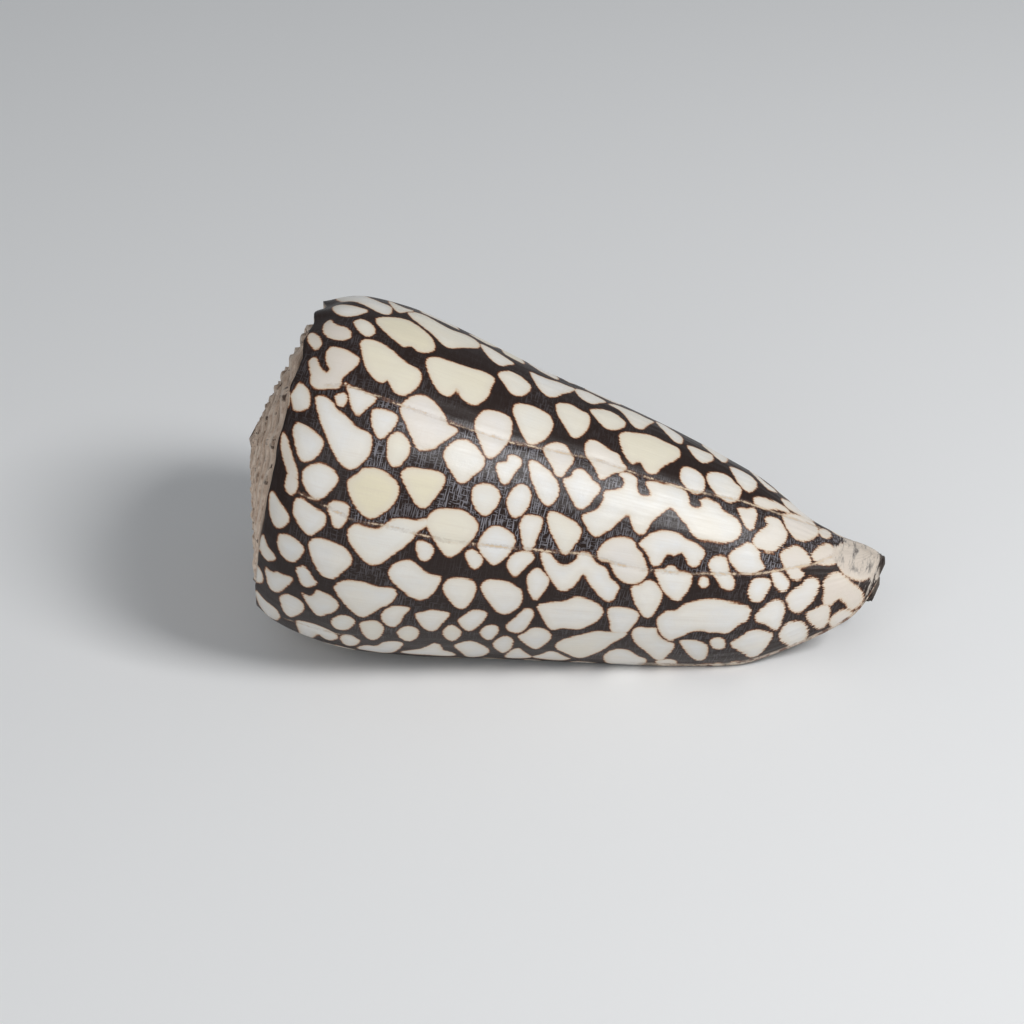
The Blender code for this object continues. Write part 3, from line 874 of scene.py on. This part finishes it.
def patches_unseen(seen, where, normals, hidden, rng):
    """Patches for the rest of the shell: cells between scattered points, with dark gaps."""
    order = rng.permutation(np.flatnonzero(hidden))
    occupied = np.concatenate([patch.outline for patch in seen])
    seeds = []
    for index in order:
        point = where[index]
        from_narrow_end = min(1.0, (NARROW_END - point[0]) / NARROW_SPAN)
        spacing = CELL_SPACING * (SPACING_AT_TIP + SPACING_ADDED * from_narrow_end)
        if np.min(np.linalg.norm(occupied - point, axis=1)) < CELL_CLEARANCE * spacing:
            continue
        if seeds:
            away = where[seeds] - point
            away = away * np.array([1 - CELL_SHORTENING, 1.0, 1.0])
            if np.min(np.linalg.norm(away, axis=1)) < spacing * (0.75 + 0.5 * rng.random()):
                continue
        seeds.append(index)
    found = []
    for index in seeds:
        normal = normals[index]
        frame_of = Patch(0.0, np.array([where[index]]), normal)
        span = CELL_REACH * CELL_SPACING
        cell = np.array([(-span, -span), (span, -span), (span, span), (-span, span)]) / 2
        neighbours = where[[k for k in seeds if k != index]]
        others = frame_of.flatten(neighbours)
        close = np.linalg.norm(neighbours - where[index], axis=1) < 2 * span
        gap = CELL_GAP * rng.uniform(0.6, 1.9)
        for other in others[close]:
            cell = cut_cell(cell, other, np.linalg.norm(other) / 2 - gap / 2)
        border = np.linalg.norm(occupied - where[index], axis=1) < span
        for other in frame_of.flatten(occupied[border]):
            cell = cut_cell(cell, other, np.linalg.norm(other) - CELL_GAP)
        if len(cell) < 3 or rng.random() < CELLS_LEFT_OUT:
            continue
        if rng.random() < CELLS_NOTCHED:
            side = rng.integers(len(cell))
            notch = (cell[side] + cell[(side + 1) % len(cell)]) * 0.5 * rng.uniform(0.2, 0.5)
            cell = np.insert(cell, side + 1, notch, axis=0)
        for _ in range(2):
            cell = np.stack([0.75 * cell + 0.25 * np.roll(cell, -1, axis=0),
                             0.25 * cell + 0.75 * np.roll(cell, -1, axis=0)], axis=1).reshape(-1, 2)
        if np.ptp(cell[:, 0]) < SMALLEST_CELL or np.ptp(cell[:, 1]) < SMALLEST_CELL:
            continue
        outline = where[index] + cell[:, :1] * frame_of.along + cell[:, 1:] * frame_of.across
        found.append(Patch(rng.choice(CELL_TINTS), outline, normal))
    return found


def cut_cell(cell, towards, reach):
    """Part of a flat cell that lies within this reach in one direction."""
    direction = towards / max(np.linalg.norm(towards), 1e-9)
    over = cell @ direction - reach
    kept = []
    for k in range(len(cell)):
        j = (k + 1) % len(cell)
        if over[k] <= 0:
            kept.append(cell[k])
        if (over[k] <= 0) != (over[j] <= 0):
            t = over[k] / (over[k] - over[j])
            kept.append(cell[k] + t * (cell[j] - cell[k]))
    return np.array(kept) if kept else np.zeros((0, 2))


def share_layers(patches):
    """Gives near patches different layers, so that the dark line between them stays sharp."""
    middles = np.array([patch.middle for patch in patches])
    layers = np.full(len(patches), -1)
    for k, patch in enumerate(patches):
        taken = []
        for j in range(k):
            if np.linalg.norm(middles[j] - middles[k]) > patch.reach + patches[j].reach + LAYER_MARGIN:
                continue
            gap = np.min(np.linalg.norm(patch.outline[:, None] - patches[j].outline[None], axis=2))
            if gap < LAYER_MARGIN:
                taken.append((gap, layers[j]))
        free = [layer for layer in range(LAYERS) if layer not in [used for _, used in taken]]
        layers[k] = free[0] if free else max(taken)[1]
    return layers


def line_distance(where, line):
    nearest = np.full(len(where), np.inf)
    for start, end in zip(line[:-1], line[1:]):
        edge = end - start
        t = np.clip((where - start) @ edge / max(edge @ edge, 1e-18), 0, 1)
        nearest = np.minimum(nearest, np.linalg.norm(where - start - t[:, None] * edge, axis=1))
    return nearest


def add_attribute(mesh, name, values):
    attribute = mesh.attributes.new(name, "FLOAT", "POINT")
    attribute.data.foreach_set("value", np.asarray(values, np.float32))


surface = grow_wall()
points = np.concatenate(surface.points)
age_of = np.concatenate(surface.age)
along_of = np.concatenate(surface.along)
kind_of = np.concatenate(surface.kind)
ramp_of = np.concatenate(surface.ramp)
low = points.min(axis=0)
high = points.max(axis=0)
rest_shift = (np.array(cad_low) + np.array(cad_high)) / 2 - (low + high) / 2
rest_shift[2] = cad_low[2] - low[2]
points = points + rest_shift

mesh = bpy.data.meshes.new("cone_shell")
mesh.from_pydata(points.tolist(), [], surface.faces)
mesh.update()
normals = np.zeros(len(points) * 3)
mesh.vertex_normals.foreach_get("vector", normals)
normals = normals.reshape(-1, 3)

forward = camera_axes()[0]
camera_place = np.array(LOOK_AT) + rest_shift - CAMERA_DISTANCE * forward
tree = BVHTree.FromPolygons(points.tolist(), surface.faces)
on_wall = (kind_of == OUTER) & (age_of > -1)


def hidden_points():
    """Which points of the last whorl face away from the camera."""
    to_camera = camera_place - points
    to_camera = to_camera / np.linalg.norm(to_camera, axis=1, keepdims=True)
    facing = np.sum(normals * to_camera, axis=1)
    return on_wall & (facing < TURNED_AWAY) & (along_of > CELLS_FROM) & (along_of < CELLS_TO)


def lay_patches(patches):
    """Depth inside the patches of each layer, and the nearest patch's tint, at every point."""
    pale = np.full((LAYERS, len(points)), -FAR_OUTSIDE)
    tint = np.zeros(len(points))
    nearest = np.full(len(points), -np.inf)
    for patch, layer in zip(patches, share_layers(patches)):
        near = np.flatnonzero(
            (np.linalg.norm(points - patch.middle, axis=1) < patch.reach + FAR_OUTSIDE)
            & (normals @ patch.normal > SAME_SIDE) & (kind_of != INNER)
        )
        if not len(near):
            continue
        depth = inside_distance(patch.flatten(points[near]), patch.flat)
        pale[layer, near] = np.maximum(pale[layer, near], depth)
        closer = depth > nearest[near]
        nearest[near[closer]] = depth[closer]
        tint[near[closer]] = patch.tint
    return pale, tint


def seen_at(pixel):
    """Point of the shell that the camera sees at this pixel, or None."""
    return tree.ray_cast(Vector(camera_place), Vector(pixel_ray(pixel)))[0]


def distance_from(spot):
    return np.linalg.norm(points - np.array(spot), axis=1)


def trace_scars():
    """Distance to the nearest scar at every point, and each scar's age along the wall."""
    distance = np.full(len(points), FAR_OUTSIDE)
    ages = []
    for line in SCARS:
        placed = []
        for start, end in zip(line[:-1], line[1:]):
            for t in (0, 0.25, 0.5, 0.75):
                spot = seen_at(np.array(start) * (1 - t) + np.array(end) * t)
                if spot is not None:
                    placed.append(spot)
        distance = np.minimum(distance, line_distance(points, np.array(placed)))
        beneath = [int(np.argmin(distance_from(spot))) for spot in placed]
        beneath = sorted((along_of[k], age_of[k]) for k in beneath if kind_of[k] == OUTER)
        ages.append(np.interp(along_of, [pair[0] for pair in beneath], [pair[1] for pair in beneath]))
    return distance, ages


def painted_sheen_band(scar_ages):
    """Where the dark network's painted sheen is strongest: the band between the two long scars."""
    young_side = np.maximum(scar_ages[0], scar_ages[1]) + SHEEN_MARGIN
    old_side = np.minimum(scar_ages[0], scar_ages[1]) - SHEEN_MARGIN
    sheen_mask = smooth_step((young_side - age_of) / SHEEN_FADE)
    sheen_mask = sheen_mask * smooth_step((age_of - old_side) / SHEEN_FADE) * on_wall
    return sheen_mask * smooth_step((along_of - SHEEN_START) / SHEEN_START_FADE)


seen = patches_seen(tree, camera_place)
rng = np.random.default_rng(CELL_SEED)
pale, tint = lay_patches(seen + patches_unseen(seen, points, normals, hidden_points(), rng))
scar, scar_ages = trace_scars()
# Band of the dark network that gets the most painted sheen
sheen_mask = painted_sheen_band(scar_ages)

# Place across the ramps of the spire, carrying on the place along the wall
spire_axis = axis_place(np.array(1.0))
from_origin = points - rest_shift
off_axis = from_origin - (from_origin @ spire_axis)[:, None] * spire_axis
spire_along = np.linalg.norm(off_axis, axis=1) - outer_radius(age_of * 0, along_of * 0)
down_the_wall = np.where(kind_of == SPIRE, spire_along / BODY_LENGTH, along_of)

# Worn places, and the edge of the lip
ragged = noise(points, 0.004, 5)
from_end = BODY_LENGTH * (1 - along_of)
worn_tip = np.maximum(
    smooth_step((TIP_WEAR + TIP_RAGGED * ragged - distance_from(seen_at(TIP_PIXEL))) / WEAR_FADE),
    smooth_step((END_WEAR + END_RAGGED * ragged - from_end) / WEAR_FADE),
) * (kind_of == OUTER)
lip_edge = smooth_step((age_of + 0.016 + 0.004 * ragged) / 0.006)
lip_edge = lip_edge * smooth_step((along_of - 0.6) / 0.1) * (kind_of == OUTER)
worn_spire = (kind_of == SPIRE) * smooth_step((-age_of - 0.02 + 0.05 * ragged) / 0.2)

# Fine relief: growth lines, the scars' grooves, worn spire and worn tip
wall_grain = np.stack([age_of * 0.12, along_of * 0.01, 0 * age_of], axis=1)
growth_lines = 0.5 * np.sin(age_of * 400 + 2 * ragged) + noise(wall_grain, 0.0011, 3)
relief = GROWTH_RELIEF * growth_lines * on_wall
relief = relief - SCAR_DEPTH * np.exp(-(scar / SCAR_WIDTH) ** 2) * on_wall
crumbled = noise(points, 0.0022, 7) + 0.5 * noise(points, 0.0009, 8) - 0.5
relief = relief + worn_spire * SPIRE_ROUGHNESS * crumbled
suture = smooth_step((ramp_of - 1 + SUTURE_SHARE) / SUTURE_SHARE)
relief = relief - worn_spire * SUTURE_DEPTH * suture
relief = relief + worn_tip * TIP_ROUGHNESS * (noise(points, 0.0012, 9) - 0.6)
points = points + normals * relief[:, None]
for pixel, width, drop in CHIPS:
    chipped = np.exp(-(distance_from(seen_at(pixel)) / width) ** 2) * (kind_of != INNER)
    points = points - spire_axis * (drop * chipped)[:, None]
points = np.clip(points, np.array(cad_low), np.array(cad_high))

mesh.vertices.foreach_set("co", points.astype(np.float32).ravel())
mesh.update()
mesh.shade_smooth()
for layer in range(LAYERS):
    add_attribute(mesh, f"pale_{layer}", pale[layer] * 1000)
for name, values in (
    ("tint", tint), ("scar", scar * 1000), ("worn_spire", worn_spire), ("worn_tip", worn_tip),
    ("ramp", ramp_of), ("sheen_mask", sheen_mask), ("end", from_end * 1000 + 10 * (kind_of != OUTER)),
    ("lip_edge", lip_edge), ("within", kind_of == INNER),
):
    add_attribute(mesh, name, values)
growth_place = mesh.attributes.new("growth", "FLOAT_VECTOR", "POINT")
growth_place.data.foreach_set("vector", np.stack(
    [age_of * 150, down_the_wall * 90, 0 * age_of], axis=1).astype(np.float32).ravel())

shell = bpy.data.objects.new("cone_shell", mesh)
bpy.context.collection.objects.link(shell)


class Nodes:
    """Short names for the nodes of one material."""

    def __init__(self, name):
        self.material = bpy.data.materials.new(name)
        self.material.use_nodes = True
        self.tree = self.material.node_tree
        self.surface = self.tree.nodes["Principled BSDF"]

    def put(self, socket, value):
        if isinstance(value, bpy.types.NodeSocket):
            self.tree.links.new(value, socket)
        else:
            socket.default_value = value

    def attribute(self, name, output="Fac"):
        item = self.tree.nodes.new("ShaderNodeAttribute")
        item.attribute_name = name
        return item.outputs[output]

    def math(self, operation, first, second=0.0):
        item = self.tree.nodes.new("ShaderNodeMath")
        item.operation = operation
        self.put(item.inputs[0], first)
        self.put(item.inputs[1], second)
        return item.outputs[0]

    def ramp(self, factor, *stops):
        item = self.tree.nodes.new("ShaderNodeValToRGB")
        elements = item.color_ramp.elements
        while len(elements) < len(stops):
            elements.new(0.5)
        for element, (position, colour) in zip(elements, stops):
            element.position = position
            element.color = (*colour, 1.0)
        self.put(item.inputs[0], factor)
        return item.outputs[0]

    def span(self, value, low, high, start=0.0, end=1.0):
        item = self.tree.nodes.new("ShaderNodeMapRange")
        self.put(item.inputs["Value"], value)
        item.inputs["From Min"].default_value = low
        item.inputs["From Max"].default_value = high
        item.inputs["To Min"].default_value = start
        item.inputs["To Max"].default_value = end
        return item.outputs["Result"]

    def mix(self, factor, first, second):
        item = self.tree.nodes.new("ShaderNodeMix")
        item.data_type = "RGBA"
        self.put(item.inputs[0], factor)
        self.put(item.inputs[6], first)
        self.put(item.inputs[7], second)
        return item.outputs[2]

    def noise(self, vector, scale, detail=3.0, roughness=0.5):
        item = self.tree.nodes.new("ShaderNodeTexNoise")
        self.put(item.inputs["Vector"], vector)
        item.inputs["Scale"].default_value = scale
        item.inputs["Detail"].default_value = detail
        item.inputs["Roughness"].default_value = roughness
        return item.outputs[0]

    def stretch(self, vector, scale):
        item = self.tree.nodes.new("ShaderNodeMapping")
        self.put(item.inputs["Vector"], vector)
        item.inputs["Scale"].default_value = scale
        return item.outputs[0]

    def place(self):
        return self.tree.nodes.new("ShaderNodeTexCoord").outputs["Object"]

    def bump(self, height, strength, distance, normal=None):
        item = self.tree.nodes.new("ShaderNodeBump")
        self.put(item.inputs["Strength"], strength)
        item.inputs["Distance"].default_value = distance
        self.put(item.inputs["Height"], height)
        if normal is not None:
            self.put(item.inputs["Normal"], normal)
        return item.outputs[0]


class Textures:
    """Positions and noise that the shell's colours share."""

    def __init__(self, n):
        self.where = n.place()
        self.growth = n.attribute("growth", "Vector")
        self.lines = n.noise(n.stretch(self.growth, (3.0, 0.12, 1.0)), 1.0, 4.0, 0.6)
        self.threads = n.noise(n.stretch(self.growth, (0.06, 2.2, 1.0)), 1.0, 3.0, 0.6)
        self.speckle = n.noise(self.where, 2500.0, 3.0, 0.6)
        self.cloud = n.noise(self.where, 160.0, 3.0, 0.55)
        self.broad = n.noise(self.where, 60.0, 2.0, 0.5)


def patch_depth(n, shared):
    """Depth inside the pale patches, in millimetres, with jagged rims and more so near the tip."""
    depth = n.attribute("pale_0")
    for layer in range(1, LAYERS):
        depth = n.math("MAXIMUM", depth, n.attribute(f"pale_{layer}"))
    jagged = n.math(
        "ADD", n.span(shared.lines, 0.3, 0.7, -0.11, 0.11), n.span(shared.speckle, 0.3, 0.7, -0.05, 0.05)
    )
    from_shoulder = n.tree.nodes.new("ShaderNodeSeparateXYZ")
    n.put(from_shoulder.inputs[0], shared.growth)
    near_tip = n.span(from_shoulder.outputs["Y"], 58.0, 80.0)
    depth = n.math("ADD", depth, n.math("MULTIPLY", jagged, n.span(near_tip, 0.0, 1.0, 1.0, 2.6)))
    depth = n.math("ADD", depth, n.span(near_tip, 0.0, 1.0, 0.0, 0.14))
    low = PATCH_GROWTH - PATCH_UNEVENNESS
    high = PATCH_GROWTH + PATCH_UNEVENNESS
    return n.math("ADD", depth, n.span(shared.broad, 0.3, 0.7, low, high))


def pale_colour(n, shared):
    """White, cream or pinkish as the patch's tint says, with faint streaks."""
    white = n.mix(n.span(shared.cloud, 0.35, 0.65), WHITE_COOL, WHITE_WARM)
    tint_of = n.attribute("tint")
    cream = n.mix(n.span(tint_of, 0.0, 1.0), white, CREAM)
    pinkish = n.mix(n.span(tint_of, 0.0, -1.0), cream, PINKISH)
    return n.mix(n.span(shared.lines, 0.45, 0.8, 0.0, 0.28), pinkish, STREAK)


def dark_colour(n, shared):
    """The dark network, with a cross-hatch of painted sheen on its growth lines, strongest between the
    long scars.
    """
    fine_lines = n.noise(n.stretch(shared.growth, (6.0, 0.9, 1.0)), 1.0, 1.0, 0.5)
    fine_threads = n.noise(n.stretch(shared.growth, (0.45, 5.0, 1.0)), 1.0, 1.0, 0.5)
    # Painted sheen: highlights on the growth lines and threads, drawn in the colour
    sheen_hatch = n.math(
        "MAXIMUM", n.span(fine_lines, 0.56, 0.63, 0.0, 0.8), n.span(fine_threads, 0.53, 0.60)
    )
    everywhere = n.span(shared.broad, 0.50, 0.66, 0.03, 0.25)
    in_sheen_band = n.math("MULTIPLY", n.attribute("sheen_mask"), n.span(shared.broad, 0.36, 0.52, 0.25, 1.0))
    strength = n.math("MULTIPLY", sheen_hatch, n.math("MAXIMUM", everywhere, in_sheen_band))
    return n.mix(strength, DARK, PAINTED_SHEEN)


def marbling(n, shared, depth):
    """Pale patches with orange-brown rims on the dark network."""
    edge = n.ramp(
        n.span(depth, -0.30, 0.45),
        (0.0, DARK_EDGE), (0.30, RIM_BROWN), (0.40, RIM_ORANGE), (0.58, RIM_PALE),
    )
    body = n.mix(n.span(depth, -0.30, -0.06), dark_colour(n, shared), edge)
    bordered = n.mix(n.span(depth, 0.25, 1.3, 0.55, 0.0), pale_colour(n, shared), PATCH_EDGE)
    return n.mix(n.span(depth, 0.04, 0.36), body, bordered)


def scars_and_lip(n, shared, depth, body):
    """Broken brown and cream lines along the scars, and the flaking edge of the lip."""
    scar_of = n.math("ADD", n.attribute("scar"), n.span(shared.speckle, 0.3, 0.7, -0.12, 0.12))
    broken = n.span(n.noise(shared.growth, 0.35, 3.0, 0.6), 0.40, 0.52, 0.25, 1.0)
    cracked = n.math("MULTIPLY", n.span(depth, -0.1, 0.3, 0.7, 0.20), broken)
    body = n.mix(n.math("MULTIPLY", n.span(scar_of, 0.38, 0.22), cracked), body, SCAR_CRACK)
    body = n.mix(n.math("MULTIPLY", n.span(scar_of, 0.19, 0.08), broken), body, SCAR_COLOUR)
    flakes = n.noise(shared.where, 600.0, 4.0, 0.65)
    lip = n.mix(n.span(flakes, 0.48, 0.60), LIP_COLOUR, SCAR_CRACK)
    flaky = n.math("MULTIPLY", n.attribute("lip_edge"), n.span(flakes, 0.36, 0.50, 0.2, 1.0))
    return n.mix(flaky, body, lip)


def scraped_end(n, shared, body):
    """Scratched pale shell at the anterior end, dark on its very edge."""
    scratches = n.noise(n.stretch(shared.growth, (0.07, 0.9, 1.0)), 1.0, 6.0, 0.72)
    scraped = n.ramp(scratches, (0.37, TIP_DARK), (0.42, TIP_GREY), (0.50, TIP_PALE))
    bare = n.math("ADD", n.attribute("worn_tip"), n.span(scratches, 0.35, 0.65, -0.35, 0.35))
    body = n.mix(n.span(bare, 0.36, 0.56, 0.0, 0.9), body, scraped)
    end = n.math("ADD", n.attribute("end"), n.span(scratches, 0.3, 0.7, -0.5, 0.5))
    return n.mix(n.span(end, 1.1, 0.7, 0.0, 0.85), body, DARK)


def chalky_spire(n, shared):
    """Chalky ridges and stains, with painted highlights on the crests and painted shade in the sutures."""
    ridges = n.noise(n.stretch(shared.growth, (0.22, 1.1, 1.0)), 1.0, 5.0, 0.7)
    chalk = n.ramp(ridges, (0.35, CHALK_DARK), (0.44, CHALK_MID), (0.57, CHALK_PALE))
    stains = n.noise(n.stretch(shared.growth, (0.35, 0.8, 1.0)), 1.0, 4.0, 0.65)
    chalk = n.mix(n.span(stains, 0.58, 0.64, 0.0, 0.9), chalk, CHALK_STAIN)
    ragged_ramp = n.math("ADD", n.attribute("ramp"), n.span(ridges, 0.3, 0.7, -0.10, 0.10))
    # Painted highlight along the crests
    chalk = n.mix(n.span(ragged_ramp, 0.30, 0.0, 0.0, 0.55), chalk, CREST_PAINTED_HIGHLIGHT)
    # Painted shade in the sutures
    return n.mix(n.span(ragged_ramp, 0.80, 1.0, 0.0, 0.8), chalk, SUTURE_PAINTED_SHADE)


def shell_material():
    n = Nodes("marbled_shell")
    shared = Textures(n)
    depth = patch_depth(n, shared)
    body = marbling(n, shared, depth)
    body = scars_and_lip(n, shared, depth, body)
    body = scraped_end(n, shared, body)
    body = n.mix(n.attribute("worn_spire"), body, chalky_spire(n, shared))
    inside = n.mix(n.span(shared.cloud, 0.35, 0.7), INSIDE_WHITE, INSIDE_PINK)
    body = n.mix(n.attribute("within"), body, inside)
    n.put(n.surface.inputs["Base Color"], body)

    worn = n.math("MAXIMUM", n.attribute("worn_spire"), n.attribute("worn_tip"))
    unpolished = n.span(shared.lines, 0.3, 0.7, -0.06, 0.10)
    n.put(n.surface.inputs["Roughness"], n.math("ADD", n.span(worn, 0.0, 1.0, 0.36, 0.85), unpolished))
    n.put(n.surface.inputs["Specular IOR Level"], 0.30)
    fine = n.bump(shared.lines, 0.10, 0.0002)
    fine = n.bump(shared.threads, 0.07, 0.0002, fine)
    pits = n.noise(shared.where, 1500.0, 5.0, 0.7)
    n.put(n.surface.inputs["Normal"], n.bump(pits, n.span(worn, 0.0, 1.0, 0.12, 0.5), 0.0003, fine))
    return n.material


def floor_material():
    n = Nodes("pale_floor")
    n.put(n.surface.inputs["Base Color"], FLOOR_COLOUR)
    n.put(n.surface.inputs["Roughness"], 0.6)
    n.put(n.surface.inputs["Specular IOR Level"], 0.25)
    return n.material


mesh.materials.append(shell_material())

camera_data = bpy.data.cameras.new("camera")
camera_data.lens = CAMERA_LENS
camera_data.sensor_width = SENSOR_WIDTH
camera_data.shift_x = -PHOTO_OFFSET[0] / PHOTO_SIZE
camera_data.shift_y = PHOTO_OFFSET[1] / PHOTO_SIZE
camera_data.clip_start = 0.01
camera = bpy.data.objects.new("camera", camera_data)
bpy.context.collection.objects.link(camera)
camera.location = Vector(camera_place)
camera.rotation_mode = "QUATERNION"
camera.rotation_quaternion = Vector(forward).to_track_quat("-Z", "Y")
bpy.context.scene.camera = camera

floor_mesh = bpy.data.meshes.new("floor")
floor_mesh.from_pydata([(-3, -3, 0), (3, -3, 0), (3, 3, 0), (-3, 3, 0)], [], [(0, 1, 2, 3)])
floor = bpy.data.objects.new("floor", floor_mesh)
bpy.context.collection.objects.link(floor)
floor_mesh.materials.append(floor_material())
floor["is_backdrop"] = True


def area_light(name, place_at, size, power):
    data = bpy.data.lights.new(name, "AREA")
    data.energy = power
    data.size = size
    light = bpy.data.objects.new(name, data)
    light.location = place_at
    light.rotation_mode = "QUATERNION"
    light.rotation_quaternion = (-Vector(place_at)).to_track_quat("-Z", "Y")
    bpy.context.collection.objects.link(light)


for name, place_at, size, power in LIGHTS:
    area_light(name, place_at, size, power)
world = bpy.data.worlds.new("studio")
world.use_nodes = True
world.node_tree.nodes["Background"].inputs["Color"].default_value = SKY_COLOUR
world.node_tree.nodes["Background"].inputs["Strength"].default_value = SKY_STRENGTH
bpy.context.scene.world = world
bpy.context.scene.view_settings.view_transform = "Standard"

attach(shell, "root")
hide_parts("shell")

low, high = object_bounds()
